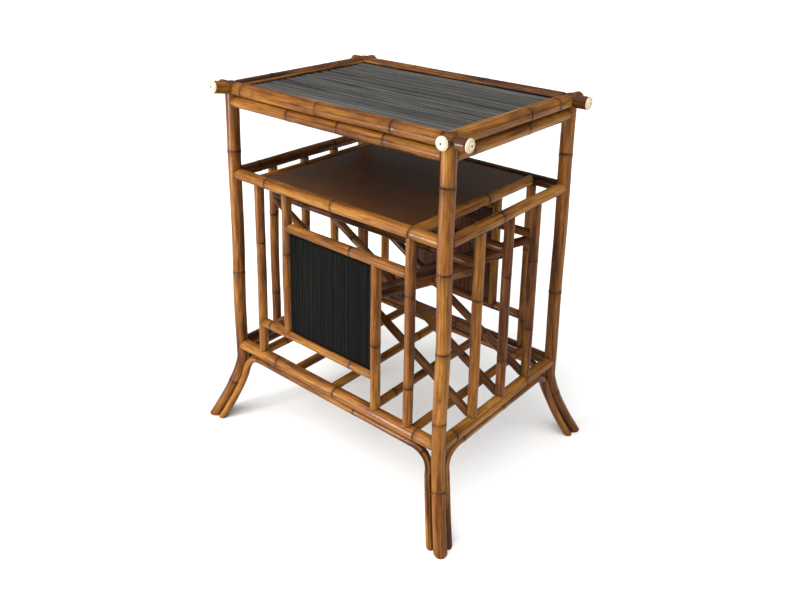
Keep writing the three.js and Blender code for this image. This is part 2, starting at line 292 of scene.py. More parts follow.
def cope(point, inward, offsets, cutters):
    """For each line of a cane, how far in from its end it starts, to clear what it meets there."""
    depths = []
    for offset in offsets:
        hits = [hit_from(point + offset, inward, cutter) for cutter in cutters]
        depths.append(max([hit for hit in hits if hit is not None], default=0.0))
    return np.array(depths)


class Path:
    """A polyline measured by distance, with frames that don't twist."""

    def __init__(self, points):
        self.points = np.array([tuple(p) for p in points], float)
        steps = np.linalg.norm(np.diff(self.points, axis=0), axis=1)
        self.distance = np.concatenate([[0.0], np.cumsum(steps)])
        self.length = float(self.distance[-1])

    def at(self, s):
        inside = np.stack([np.interp(s, self.distance, self.points[:, k]) for k in range(3)], axis=1)
        first = self.points[1] - self.points[0]
        last = self.points[-1] - self.points[-2]
        before = np.minimum(s, 0)[:, None] * first / np.linalg.norm(first)
        after = np.maximum(s - self.length, 0)[:, None] * last / np.linalg.norm(last)
        return inside + before + after

    def frames(self, s):
        step = 0.002
        tangents = self.at(s + step) - self.at(s - step)
        tangents /= np.linalg.norm(tangents, axis=1)[:, None]
        guide = np.array([0.0, 0.0, 1.0]) if abs(tangents[0][2]) < 0.8 else np.array([1.0, 0.0, 0.0])
        sideways = []
        for tangent in tangents:
            guide = guide - tangent * guide.dot(tangent)
            guide /= np.linalg.norm(guide)
            sideways.append(guide.copy())
        sideways = np.array(sideways)
        return tangents, sideways, np.cross(tangents, sideways)

    def where(self, axis, value):
        """The distance at which the path's x, y or z is value."""
        coordinate = self.points[:, axis]
        if coordinate[-1] < coordinate[0]:
            return float(np.interp(value, coordinate[::-1], self.distance[::-1]))
        return float(np.interp(value, coordinate, self.distance))


def bell(d, middle, width):
    return np.exp(-(((d - middle) / width) ** 2))


def ring_shape(d, ring):
    """The radius share, groove darkness and stain of one node ring at distance d from it."""
    bulge = ring["bulge"] * bell(d, 0.0015, 0.0042)
    lip = 0.4 * ring["bulge"] * bell(d, -0.0030, 0.0013)
    groove = bell(d, -0.0010, 0.0019)
    spread = np.where(d > 0, ring["spread"], 0.4 * ring["spread"])
    stain = ring["stain"] * np.exp(-(np.abs(d - 0.001) / spread) ** 1.3)
    return bulge + lip - ring["depth"] * groove, groove, stain


# The random sizes of a node ring. Bulge and depth are shares of the radius, spread and tilt are lengths.
RING_RANGES = {
    "bulge": (0.030, 0.060),
    "depth": (0.035, 0.060),
    "stain": (0.40, 1.00),
    "spread": (0.004, 0.014),
    "tilt": (0.0002, 0.0012),
    "phase": (0, TURN),
}


def make_rings(places, rng):
    rings = []
    for s in places:
        ring = {name: rng.uniform(*limits) for name, limits in RING_RANGES.items()}
        ring["s"] = s
        rings.append(ring)
    return rings


def ring_surface(s, angles, rings):
    """What the rings do at every row and angle: radius share, groove darkness, stain and slide along."""
    shape = (len(s), len(angles))
    share, groove, stain, slide = np.ones(shape), np.zeros(shape), np.zeros(shape), np.zeros(shape)
    for ring in rings:
        d = s - ring["s"]
        raised, dark, brown = ring_shape(d, ring)
        weave = 0.75 + 0.25 * np.sin(2 * angles + ring["phase"] * 2)
        share += raised[:, None]
        groove = np.maximum(groove, dark[:, None] * weave[None, :])
        stain = np.maximum(stain, brown[:, None])
        tilt = ring["tilt"] * np.sin(angles + ring["phase"])
        slide += bell(d, 0, 0.007)[:, None] * tilt[None, :]
    return share, groove, stain, slide


def end_taper(s, length, ends):
    """A rounded end: the radius share left at each distance s along a cane."""
    lost = np.zeros_like(s)
    for distance, (depth, amount) in ((s, ends[0]), (length - s, ends[1])):
        near = np.clip(1 - distance / depth, 0, 1)
        lost += amount * (1 - np.sqrt(np.clip(1 - near**2, 0, 1)))
    return 1 - lost


def end_cuts(path, drawn, angles, copes, flat):
    """How far in from each end of a path every line of the cane starts."""
    cuts = []
    tangents, side, other = path.frames(np.linspace(0, path.length, 200))
    for end, (row, sign) in enumerate(((0, 1), (-1, -1))):
        inward = Vector(tangents[row]) * sign
        point = Vector(path.points[row])
        offsets = [Vector((side[row] * math.cos(a) + other[row] * math.sin(a)) * drawn) for a in angles]
        if copes[end]:
            cuts.append(cope(point, inward, offsets, copes[end]))
        elif flat[end] is not None:
            cuts.append(np.array([(flat[end] - point.z - offset.z) / inward.z for offset in offsets]))
        else:
            cuts.append(np.zeros(CANE_SIDES))
    return cuts


def cane_rows(start_s, stop_s, rings, lap):
    """Where a cane's rows of points lie along it: even ones, and clusters at its ends, rings and lap."""
    count = max(4, int((stop_s - start_s) / ROW_STEP))
    rows = list(np.linspace(start_s, stop_s, count + 1))
    for d in END_ROWS:
        rows += [start_s + d, stop_s - d]
    for ring in rings:
        rows += [ring["s"] + d * 0.001 for d in RING_ROWS_MM]
    if lap:
        rows += list(np.arange(lap["s"] - LAP_HALF, lap["s"] + LAP_HALF, LAP_STEP))
    kept = []
    for s in sorted(rows):
        if start_s - 1e-9 <= s <= stop_s + 1e-9 and (not kept or s - kept[-1] > CLOSEST_ROWS):
            kept.append(s)
    kept[-1] = stop_s
    return np.array(kept)


def cut_lap(vertices, lap):
    """Flattens the wrong half of a divider bar where it crosses its fellow, so that the two lap."""
    other = lap["other"]
    along = np.array((other["end"] - other["start"]).normalized())
    offset = vertices - np.array(other["start"])
    across = offset - (offset @ along)[..., None] * along
    inside = np.linalg.norm(across, axis=-1) < other["radius"] + GAP
    wrong = (vertices[..., 1] - lap["y"]) * lap["keeps"] < GAP / 2
    out = vertices.copy()
    out[..., 1] = np.where(inside & wrong, lap["y"] + lap["keeps"] * GAP / 2, out[..., 1])
    return out


def centre_line(path, s, t, wander, phase):
    """The path with a slight bow both ways, and its directions along, across and square to both."""
    tangents, side, other = path.frames(s)
    bend = wander * np.sin(math.pi * t)
    bow = bend * (0.6 * np.sin(TURN * s / 0.34 + phase[3]) + 0.5 * np.cos(TURN * t + phase[4]))
    drift = bend * (0.6 * np.cos(TURN * s / 0.29 + phase[5]) + 0.5 * np.sin(TURN * t + phase[2]))
    return path.at(s) + side * bow[:, None] + other * drift[:, None], tangents, side, other


def with_end_middles(rows):
    """Rows of points as one list, then the middles of the first and last rows, where fans close them."""
    return np.vstack([rows.reshape(-1, 3), rows[0].mean(0), rows[-1].mean(0)])


def cane(name, points, radius, axis, nodes=(), *, slot="bamboo", copes=((), ()), flat=(None, None),
         ends=(PLAIN_END, PLAIN_END), stain_ends=(0.5, 0.5), lap=None, wander=0.0006, tone=0.0):
    """One bamboo cane along points. axis is the coordinate that the ring places are given in.

    copes are the canes that each end is cut round, flat is a height that an end is cut level at, and
    ends are how each is rounded. lap is the half lap where a divider crosses another.
    """
    rng = random.Random(name)
    path = Path(points)
    drawn = radius * VISIBLE_SHARE
    angles = np.arange(CANE_SIDES) * TURN / CANE_SIDES
    low, high = sorted((path.points[0][axis], path.points[-1][axis]))
    rings = make_rings([path.where(axis, place) for place in ring_places(name, low, high, rng)], rng)
    phase = [rng.uniform(0, TURN) for _ in range(6)]
    seed_shift = np.array([rng.uniform(0, 5) for _ in range(3)])
    tone += rng.uniform(-TONE_SPREAD, TONE_SPREAD)

    first_cut, last_cut = end_cuts(path, drawn, angles, copes, flat)
    start_s = float(first_cut.mean())
    stop_s = path.length - float(last_cut.mean())
    s = cane_rows(start_s, stop_s, rings, lap)
    from_start, from_stop = s - start_s, stop_s - s
    t = from_start / (stop_s - start_s)

    # Radius: rings, a slightly oval section, a slow swell and rounded ends.
    share, groove, stain, slide = ring_surface(s, angles, rings)
    swell = 0.008 * np.sin(TURN * s / 0.31 + phase[1]) + 0.004 * np.sin(TURN * s / 0.07 + phase[2])
    taper = end_taper(from_start, stop_s - start_s, ends)[:, None]
    share = (share + 0.010 * np.cos(2 * angles + phase[0])[None, :] + swell[:, None]) * taper
    for distance, amount in ((from_start, stain_ends[0]), (from_stop, stain_ends[1])):
        brown = amount * np.exp(-(distance / 0.007) ** 1.2)
        stain = np.maximum(stain, brown[:, None])

    # Near the ends, each line slides along to where it is cut.
    middle, tangents, side, other = centre_line(path, s, t, wander, phase)
    slides = ((from_start, first_cut - first_cut.mean()), (from_stop, last_cut.mean() - last_cut))
    for distance, shift in slides:
        blend = COPE_BLEND * max(drawn, float(np.abs(shift).max()))
        near = np.clip(1 - distance / blend, 0, 1)
        slide += taper * near[:, None] * shift[None, :]

    around = side[:, None, :] * np.cos(angles)[None, :, None]
    around += other[:, None, :] * np.sin(angles)[None, :, None]
    vertices = middle[:, None, :] + around * (drawn * share)[:, :, None]
    vertices += tangents[:, None, :] * slide[:, :, None]
    if lap:
        vertices = cut_lap(vertices, lap)
    grain = np.empty((len(s), CANE_SIDES, 3))
    grain[:, :, 0] = np.cos(angles)[None, :] * radius
    grain[:, :, 1] = np.sin(angles)[None, :] * radius
    grain[:, :, 2] = s[:, None]
    grain += seed_shift

    vertices = with_end_middles(vertices)
    count = len(vertices)
    faces = band_faces(len(s) - 1, CANE_SIDES) + fan_faces(count - 2, 0, CANE_SIDES, flip=True)
    faces += fan_faces(count - 1, count - 2 - CANE_SIDES, CANE_SIDES)

    piece = make_object(name, vertices, faces)
    paint(piece, "grain", with_end_middles(grain))
    paint(piece, "ring", np.append(groove.ravel(), (0.6, 0.6)))
    paint(piece, "stain", np.append(stain.ravel(), (0.9, 0.9)))
    paint(piece, "tone", np.full(count, tone))
    finish_piece(piece, CANE_MATERIALS[slot], nodes)


def draw_straight(name, shape, axis, nodes=(), **options):
    cane(name, [shape["start"], shape["end"]], shape["radius"], axis, nodes, **options)


# ------------------------------------------------------------------ material graphs
class Graph:
    """A material's node tree with short calls for the nodes used here."""

    def __init__(self, name):
        self.material = bpy.data.materials.new(name)
        self.material.use_nodes = True
        self.nodes = self.material.node_tree.nodes
        self.links = self.material.node_tree.links
        self.shader = self.nodes["Principled BSDF"]

    def feed(self, node, inputs):
        """Links a node's inputs to other nodes, or sets them to plain values."""
        for name, value in inputs.items():
            if isinstance(value, bpy.types.NodeSocket):
                self.links.new(value, node.inputs[name])
            else:
                node.inputs[name].default_value = value

    def add(self, kind, inputs):
        node = self.nodes.new(kind)
        self.feed(node, inputs)
        return node

    def attribute(self, name, output="Fac"):
        node = self.nodes.new("ShaderNodeAttribute")
        node.attribute_name = name
        return node.outputs[output]

    def grain(self, scale):
        """The place on the piece, which its mesh gives as an attribute, stretched for a texture."""
        node = self.add("ShaderNodeVectorMath", {0: self.attribute("grain", "Vector"), 1: scale})
        node.operation = "MULTIPLY"
        return node.outputs[0]

    def noise(self, scale, detail=3.0, roughness=0.55):
        inputs = {"Vector": self.grain(scale), "Scale": 1.0, "Detail": detail, "Roughness": roughness}
        return self.add("ShaderNodeTexNoise", inputs).outputs["Fac"]

    def specks(self, scale):
        inputs = {"Vector": self.grain(scale), "Scale": 1.0}
        return self.add("ShaderNodeTexVoronoi", inputs).outputs["Distance"]

    def math(self, operation, a, b, clamp=False):
        node = self.add("ShaderNodeMath", {0: a, 1: b})
        node.operation = operation
        node.use_clamp = clamp
        return node.outputs[0]

    def plus(self, a, b, clamp=False):
        return self.math("ADD", a, b, clamp)

    def times(self, a, b):
        return self.math("MULTIPLY", a, b)

    def span(self, value, low, high, out_low=0.0, out_high=1.0):
        inputs = {"Value": value, "From Min": low, "From Max": high, "To Min": out_low, "To Max": out_high}
        return self.add("ShaderNodeMapRange", inputs).outputs["Result"]

    def ramp(self, value, stops):
        node = self.add("ShaderNodeValToRGB", {"Fac": value})
        elements = node.color_ramp.elements
        while len(elements) < len(stops):
            elements.new(0.5)
        for element, (place, colour) in zip(elements, stops):
            element.position = place
            element.color = (*colour, 1)
        return node.outputs["Color"]

    def layered(self, colour, layers):
        """A colour with others over it, each as strong as its own factor."""
        for factor, over in layers:
            node = self.nodes.new("ShaderNodeMix")
            node.data_type = "RGBA"
            self.feed(node, {0: factor, 6: colour, 7: (*over, 1)})
            colour = node.outputs[2]
        return colour

    def bump(self, height, distance, strength):
        node = self.add("ShaderNodeBump", {"Strength": strength, "Distance": distance, "Height": height})
        self.feed(self.shader, {"Normal": node.outputs["Normal"]})

    def surface(self, colour, roughness, coat=0.0, coat_roughness=0.1, specular=0.5):
        self.feed(self.shader, {"Base Color": colour, "Roughness": roughness})
        self.feed(self.shader, {"Specular IOR Level": specular, "Coat Weight": coat})
        self.feed(self.shader, {"Coat Roughness": coat_roughness})
        return self.material


BAMBOO_TONES = [
    (0.00, (0.014, 0.004, 0.001)),
    (0.25, (0.064, 0.019, 0.004)),
    (0.50, (0.165, 0.060, 0.010)),
    (0.75, (0.270, 0.118, 0.018)),
    (1.00, (0.370, 0.195, 0.036)),
]
# Painted shade: darker bamboo tones for the dividers, which stand in shade inside the stand under the shelf.
DIVIDER_SHADE_TONES = [
    (0.00, (0.012, 0.004, 0.001)),
    (0.30, (0.040, 0.012, 0.003)),
    (0.60, (0.100, 0.034, 0.006)),
    (1.00, (0.210, 0.088, 0.014)),
]
FLECK_BROWN = (0.020, 0.007, 0.003)
SCRATCH_BROWN = (0.030, 0.010, 0.003)
GRIME_BROWN = (0.045, 0.015, 0.004)
NODE_BROWN = (0.042, 0.011, 0.002)
NODE_BLACK = (0.006, 0.002, 0.001)


def bamboo_material(name, tones, gloss):
    """Varnished cane: slow tone changes, brown mottling, fine fibres along it, flecks and dark rings."""
    g = Graph(name)
    slow = g.noise((45, 45, 5), detail=2)
    mottle = g.noise((190, 190, 26), detail=5, roughness=0.62)
    fibre = g.noise((1300, 1300, 18), detail=4, roughness=0.65)
    coarse = g.noise((330, 330, 6))
    patches = g.noise((60, 60, 20), detail=2)
    scratches = g.noise((620, 620, 5), detail=2)
    grime = g.noise((85, 85, 34), detail=4, roughness=0.65)
    flecks = g.specks((330, 330, 70))
    ring = g.attribute("ring")

    level = g.plus(g.span(slow, 0.25, 0.75, 0.24, 0.78), g.times(g.attribute("tone"), 0.9))
    level = g.plus(level, g.span(mottle, 0.3, 0.7, -0.16, 0.13))
    level = g.plus(level, g.span(coarse, 0.3, 0.7, -0.15, 0.12))
    level = g.plus(level, g.span(fibre, 0.3, 0.7, -0.10, 0.08), clamp=True)
    fleck = g.times(g.span(flecks, 0.12, 0.04), g.span(patches, 0.45, 0.57))
    stain = g.times(g.attribute("stain"), g.span(mottle, 0.30, 0.60, 0.45, 1.0))
    layers = (
        (g.times(fleck, 0.8), FLECK_BROWN),
        (g.span(scratches, 0.62, 0.70, 0.0, 0.75), SCRATCH_BROWN),
        (g.span(grime, 0.58, 0.72, 0.0, 0.60), GRIME_BROWN),
        (g.times(stain, 0.82), NODE_BROWN),
        (g.times(ring, 0.97), NODE_BLACK),
    )
    colour = g.layered(g.ramp(level, tones), layers)

    rough = g.plus(g.span(mottle, 0.3, 0.7, gloss - 0.05, gloss + 0.12), g.times(ring, 0.35), clamp=True)
    g.bump(g.plus(g.times(fibre, 0.35), g.times(coarse, 0.9)), 0.00035, 0.55)
    return g.surface(colour, rough, coat=0.09, coat_roughness=0.12, specular=0.08)


BAMBOO = bamboo_material("varnished_bamboo", BAMBOO_TONES, gloss=0.30)
# The dividers' bamboo, darkened as painted shade.
SHADED_DIVIDER_BAMBOO = bamboo_material("shaded_bamboo", DIVIDER_SHADE_TONES, gloss=0.36)
CANE_MATERIALS = {"bamboo": BAMBOO, "dark_bamboo": SHADED_DIVIDER_BAMBOO}


# ------------------------------------------------------------------ layout: which cane runs where
CORNERS = {
    "front_left": (-1, -1),
    "front_right": (1, -1),
    "back_left": (-1, 1),
    "back_right": (1, 1),
}
# The corners that each side runs between. A side's axis is the coordinate that runs along it.
SIDES = {
    "front": ("front_left", "front_right"),
    "back": ("back_left", "back_right"),
    "left": ("front_left", "back_left"),
    "right": ("front_right", "back_right"),
}
SIDE_AXES = {"front": 0, "back": 0, "left": 1, "right": 1}


def post_axis(corner):
    return straight(on_frame(*CORNERS[corner], HEAD_Z), on_frame(*CORNERS[corner], BEND_Z), POST_R)


def all_sides(z, radius):
    """The axes of the four canes that run from post to post at one height."""
    canes = {}
    for side, corners in SIDES.items():
        start, end = [on_frame(*CORNERS[corner], z) for corner in corners]
        canes[side] = straight(start, end, radius)
    return canes


top_canes = all_sides(TOP_Z, TOP_CANE_R)
apron_canes = all_sides(APRON_Z, APRON_R)
shelf_canes = all_sides(SHELF_Z, SHELF_CANE_R)
bottom_canes = all_sides(BOTTOM_Z, BOTTOM_RAIL_R)


# ------------------------------------------------------------------ posts and rails
def draw_posts():
    heights = [HEAD_Z, TOP_Z, SHELF_Z, BOTTOM_Z, BEND_Z]
    heights += [BEND_Z * (1 - i / 14) for i in range(1, 15)]
    for corner, sides in CORNERS.items():
        points = [on_post(*sides, z) for z in heights]
        cane(f"post_{corner}_cane", points, POST_R, 2, [f"post_{corner}"], flat=(None, 0.0),
             ends=(HEAD_END, FOOT_END), stain_ends=(1.0, 0.45), wander=0.0012, tone=CORNER_TONES[corner])


def stub_axes(corner):
    """The two stubs outside a post, from the post's axis to the seats of their caps."""
    base = on_frame(*CORNERS[corner], TOP_Z)
    axes = []
    for axis, side in enumerate(CORNERS[corner]):
        seat = base.copy()
        seat[axis] += side * (STUB_REACH[corner][axis] - CAP_LENGTH)
        if (corner, axis) == ("front_left", 1):
            seat.z += LONG_STUB_LIFT
        axes.append(straight(base, seat, STUB_R))
    return axes


def draw_stubs():
    for corner in CORNERS:
        for axis, stub in enumerate(stub_axes(corner)):
            place = f"{corner}_{'xy'[axis]}"
            draw_straight(f"stub_{place}", stub, axis, copes=([post_axis(corner)], ()),
                          stain_ends=(0.7, 0.3), wander=0.0, tone=STUB_TONE)
            draw_cap(place, stub["end"], (stub["end"] - stub["start"]).normalized())


def draw_rails():
    levels = (
        ("top_cane", top_canes, "top_rail", 0.9),
        ("apron_cane", apron_canes, "top_rail", 0.6),
        ("shelf_cane", shelf_canes, "shelf_rail", 0.5),
        ("bottom_cane", bottom_canes, "bottom_rail", 0.5),
    )
    for side, corners in SIDES.items():
        for name, canes, node, stain in levels:
            copes = []
            for corner, across in zip(corners, ("front", "back")):
                cutters = [post_axis(corner)]
                if name == "top_cane":
                    cutters += stub_axes(corner)
                if SIDE_AXES[side] == 1:
                    cutters.append(canes[across])
                copes.append(cutters)
            # Each side's tone is painted shade on the left and back, and a little painted light on the front
            # and right.
            draw_straight(f"{name}_{side}", canes[side], SIDE_AXES[side], [f"{node}_{side}"], copes=copes,
                          stain_ends=(stain, stain), wander=0.0004, tone=SIDE_SHADING_TONES[side])


# ------------------------------------------------------------------ fretwork, spindles and slats
# The canes of a long side. An upright stands at a share of the half span, between two heights. A
# crossbar lies at a height, between two shares. Then come the canes it ends against, and its tone.
FRETWORK = (
    ("outer_stile_a", -OUTER_STILE, BOTTOM_Z, SHELF_Z, "bottom", "shelf", 0.00),
    ("outer_stile_b", OUTER_STILE, BOTTOM_Z, SHELF_Z, "bottom", "shelf", -0.07),
    ("inner_stile_a", -INNER_STILE, LOWER_CROSSBAR_Z, SHELF_Z, "lower_crossbar", "shelf", 0.02),
    ("inner_stile_b", INNER_STILE, BOTTOM_Z, UPPER_CROSSBAR_Z, "bottom", "upper_crossbar", 0.16),
    ("lower_crossbar", LOWER_CROSSBAR_Z, -OUTER_STILE, INNER_STILE, "outer_stile_a", "inner_stile_b", 0.02),
    ("upper_crossbar", UPPER_CROSSBAR_Z, -INNER_STILE, OUTER_STILE, "inner_stile_a", "outer_stile_b", -0.03),
)


def fret_canes(side, facing):
    """The axes of one long side's canes. facing is -1 for the front and 1 for the back."""
    canes = {"bottom": bottom_canes[side], "shelf": shelf_canes[side]}
    for part, at, low, high, *_ in FRETWORK:
        ends = ((low, at), (high, at)) if "crossbar" in part else ((at, low), (at, high))
        start, end = [on_frame(-facing * share, facing, z) for share, z in ends]
        canes[part] = straight(start, end, SPINDLE_R)
    return canes


fret = {"front": fret_canes("front", -1), "back": fret_canes("back", 1)}


def draw_fretwork():
    for side, canes in fret.items():
        for part, _, _, _, start, end, tone in FRETWORK:
            axis = 0 if "crossbar" in part else 2
            draw_straight(f"{part}_{side}", canes[part], axis, [f"{side}_{part}"],
                          copes=([canes[start]], [canes[end]]), tone=tone)


def spindle_axis(side_x, share_y):
    return straight(on_frame(side_x, share_y, BOTTOM_Z), on_frame(side_x, share_y, SHELF_Z), SPINDLE_R)


def draw_spindles():
    for side, side_x in (("left", -1), ("right", 1)):
        for number, share_y in enumerate(END_SPINDLES, 1):
            name = f"spindle_{side}_{number}"
            draw_straight(f"{name}_cane", spindle_axis(side_x, share_y), 2, [name],
                          copes=([bottom_canes[side]], [shelf_canes[side]]), tone=SPINDLE_TONE)


def long_side_copes(*parts):
    """What a cane that runs between the two long sides is coped round at each end."""
    return [[canes[part] for part in parts] for canes in fret.values()]


def draw_bearers():
    copes = long_side_copes("shelf", "outer_stile_a", "outer_stile_b")
    for side, side_x in (("left", -1), ("right", 1)):
        share = side_x * OUTER_STILE
        shape = straight(on_frame(share, -1, SHELF_Z), on_frame(share, 1, SHELF_Z), BEARER_R)
        draw_straight(f"bearer_{side}", shape, 1, [f"shelf_bearer_{side}"], copes=copes)


def draw_slats():
    half = half_span(1, BOTTOM_Z)
    copes = long_side_copes("bottom", "outer_stile_a", "outer_stile_b", "inner_stile_b")
    for number in range(1, 6):
        middle = centre(f"slat_{number}")
        shape = straight((middle.x, -half, middle.z), (middle.x, half, middle.z), SLAT_R)
        draw_straight(f"slat_{number}_cane", shape, 1, [f"slat_{number}"], copes=copes, tone=SLAT_TONE)


# ------------------------------------------------------------------ dividers
def draw_dividers():
    """Three walls of canes from end to end: a rail, and two bars half lapped where they cross."""
    for number, share_y in enumerate(END_SPINDLES, 1):
        left, right = spindle_axis(-1, share_y), spindle_axis(1, share_y)

        def bar(left_z, right_z):
            return straight(on_frame(-1, share_y, left_z), on_frame(1, share_y, right_z), DIVIDER_R)

        rail = bar(DIVIDER_RAIL_Z, DIVIDER_RAIL_Z)
        falling = bar(DIVIDER_HIGH_Z, DIVIDER_LOW_Z)
        rising = bar(DIVIDER_LOW_Z, DIVIDER_HIGH_Z)
        draw_straight(f"divider_{number}_rail", rail, 0, [f"divider_rail_{number}"], slot="dark_bamboo",
                      copes=([left], [right]))

        copes = ([left, rail, bottom_canes["left"]], [right, rail, bottom_canes["right"]])
        half = (falling["end"] - falling["start"]).length / 2
        middle_y = (falling["start"].y + falling["end"].y) / 2
        for name, shape, other, keeps in (("falling", falling, rising, -1), ("rising", rising, falling, 1)):
            lap = {"s": half, "other": other, "y": middle_y, "keeps": keeps}
            draw_straight(f"divider_{number}_{name}", shape, 0, [f"divider_{name}_{number}"],
                          slot="dark_bamboo", copes=copes, lap=lap, wander=0.0002)


# ------------------------------------------------------------------ bent braces
def beside(corner, z, axis, more=0.0):
    """A point beside a post, moved along the rail until the post and the brace just clear."""
    sides = CORNERS[corner]
    point = on_post(*sides, z)
    tangent = (on_post(*sides, z + 0.001) - on_post(*sides, z - 0.001)).normalized()
    offset = (POST_R + BRACE_R + GAP) / math.sqrt(1 - tangent[axis] ** 2) + more
    point[axis] -= math.copysign(offset, point[axis])
    return point


def brace_half(corner, axis, ridge_z):
    """From the floor up beside one post and round to level under the rail."""
    across = 1 - axis
    bend_z = ridge_z - BRACE_BEND_R
    points = [beside(corner, bend_z * i / 16, axis) for i in range(16)]
    for i in range(13):
        turn = math.pi / 2 * i / 12
        point = beside(corner, bend_z, axis, BRACE_BEND_R * (1 - math.cos(turn)))
        point.z = bend_z + BRACE_BEND_R * math.sin(turn)
        point[across] = on_post(*CORNERS[corner], point.z)[across]
        points.append(point)
    return points


def draw_braces():
    for side, (first, second) in SIDES.items():
        axis = SIDE_AXES[side]
        ridge_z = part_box(f"brace_{side}")[1].z - BRACE_R
        points = brace_half(first, axis, ridge_z) + brace_half(second, axis, ridge_z)[::-1]
        cane(f"brace_{side}_cane", points, BRACE_R, axis, [f"brace_{side}"], flat=(0.0, 0.0),
             ends=(FOOT_END, FOOT_END), wander=0.0003, tone=BRACE_TONE)


# ------------------------------------------------------------------ turned caps
# Each profile row is a radius, a distance outward and how much grime lies there.
CAP_PROFILE_MM = (
    (0.0, 0.1, 0), (9.7, 0.1, 0.6), (10.3, 0.35, 0.5), (10.6, 0.9, 0), (10.6, 1.8, 0),
    (10.2, 2.3, 0.1), (9.5, 2.5, 0.8), (9.2, 2.9, 0.3), (8.8, 3.5, 0), (7.9, 4.1, 0),
    (7.3, 4.2, 0.4), (7.0, 3.85, 1), (6.7, 4.2, 0.4), (6.0, 4.5, 0), (4.4, 4.85, 0),
    (2.8, 5.0, 0), (2.0, 4.95, 0.3), (1.6, 4.5, 0.9), (1.4, 4.0, 1), (0.0, 4.0, 1),
)
PIN_PROFILE_MM = (
    (0.0, 4.05, 0), (1.15, 4.05, 0), (1.25, 4.5, 0), (1.0, 4.9, 0), (0.5, 5.05, 0), (0.0, 5.1, 0),
)


def turned(name, base, outward, profile_mm, sides):
    """A piece turned about outward, from a profile that starts and ends on the axis."""
    side = outward.orthogonal().normalized()
    other = outward.cross(side)
    vertices, dirt, local = [], [], []
    for radius, distance, grime in profile_mm:
        for k in range(sides if radius > 0 else 1):
            angle = TURN * k / sides
            x, y, z = radius * math.cos(angle) * 0.001, radius * math.sin(angle) * 0.001, distance * 0.001
            vertices.append(base + side * x + other * y + outward * z)
            local.append((x, y, z))
            dirt.append(grime)
    last = len(vertices) - 1
    faces = fan_faces(0, 1, sides, flip=True) + band_faces(len(profile_mm) - 3, sides, 1)
    faces += fan_faces(last, last - sides, sides)
    piece = make_object(name, vertices, faces)
    paint(piece, "ring", dirt)
    paint(piece, "grain", np.array(local) + random.Random(name).uniform(0, 3))
    return piece


IVORY_TONES = [(0.2, (0.42, 0.35, 0.21)), (0.55, (0.58, 0.51, 0.35)), (0.9, (0.66, 0.61, 0.46))]
BRASS_TONES = [(0.3, (0.015, 0.012, 0.009)), (0.8, (0.085, 0.060, 0.030))]
CRAZING_BROWN = (0.30, 0.20, 0.10)
CAP_GRIME = (0.13, 0.075, 0.03)


def ivory_material():
    """Old ivory-coloured resin: warm white, cloudy, with fine crazing and grime in the grooves."""
    g = Graph("ivory_cap")
    cloud = g.noise((240, 240, 240), detail=4)
    crack = g.noise((900, 260, 500))
    crazing = g.times(g.span(crack, 0.485, 0.5), g.span(crack, 0.515, 0.5))
    layers = (
        (g.times(crazing, 0.35), CRAZING_BROWN),
        (g.times(g.attribute("ring"), 0.72), CAP_GRIME),
    )
    g.bump(cloud, 0.0001, 0.3)
    rough = g.span(cloud, 0.3, 0.7, 0.28, 0.42)
    colour = g.layered(g.ramp(cloud, IVORY_TONES), layers)
    return g.surface(colour, rough, coat=0.2, coat_roughness=0.2)


def pin_material():
    """A dark brass pin, nearly black with age."""
    g = Graph("dark_pin")
    spots = g.noise((1600, 1600, 1600))
    g.feed(g.shader, {"Metallic": 0.7})
    g.bump(spots, 0.0001, 0.4)
    return g.surface(g.ramp(spots, BRASS_TONES), g.span(spots, 0.3, 0.7, 0.35, 0.6))


IVORY = ivory_material()
PIN = pin_material()


def draw_cap(place, seat, outward):
    cap = turned(f"cap_{place}", seat, outward, CAP_PROFILE_MM, sides=40)
    finish_piece(cap, IVORY)
    pin = turned(f"cap_pin_{place}", seat, outward, PIN_PROFILE_MM, sides=16)
    finish_piece(pin, PIN)


# ------------------------------------------------------------------ reed sheets
# The points across one reed, as shares of its width. Its edges are rounded down over REED_EDGE.
REED_SHARES = (0.0, 0.012, 0.05, 0.14, 0.30, 0.50, 0.70, 0.86, 0.95, 0.988, 1.0)
REED_EDGE = 0.14
EDGE_DROP = 0.25
THINNEST_REED = 0.15


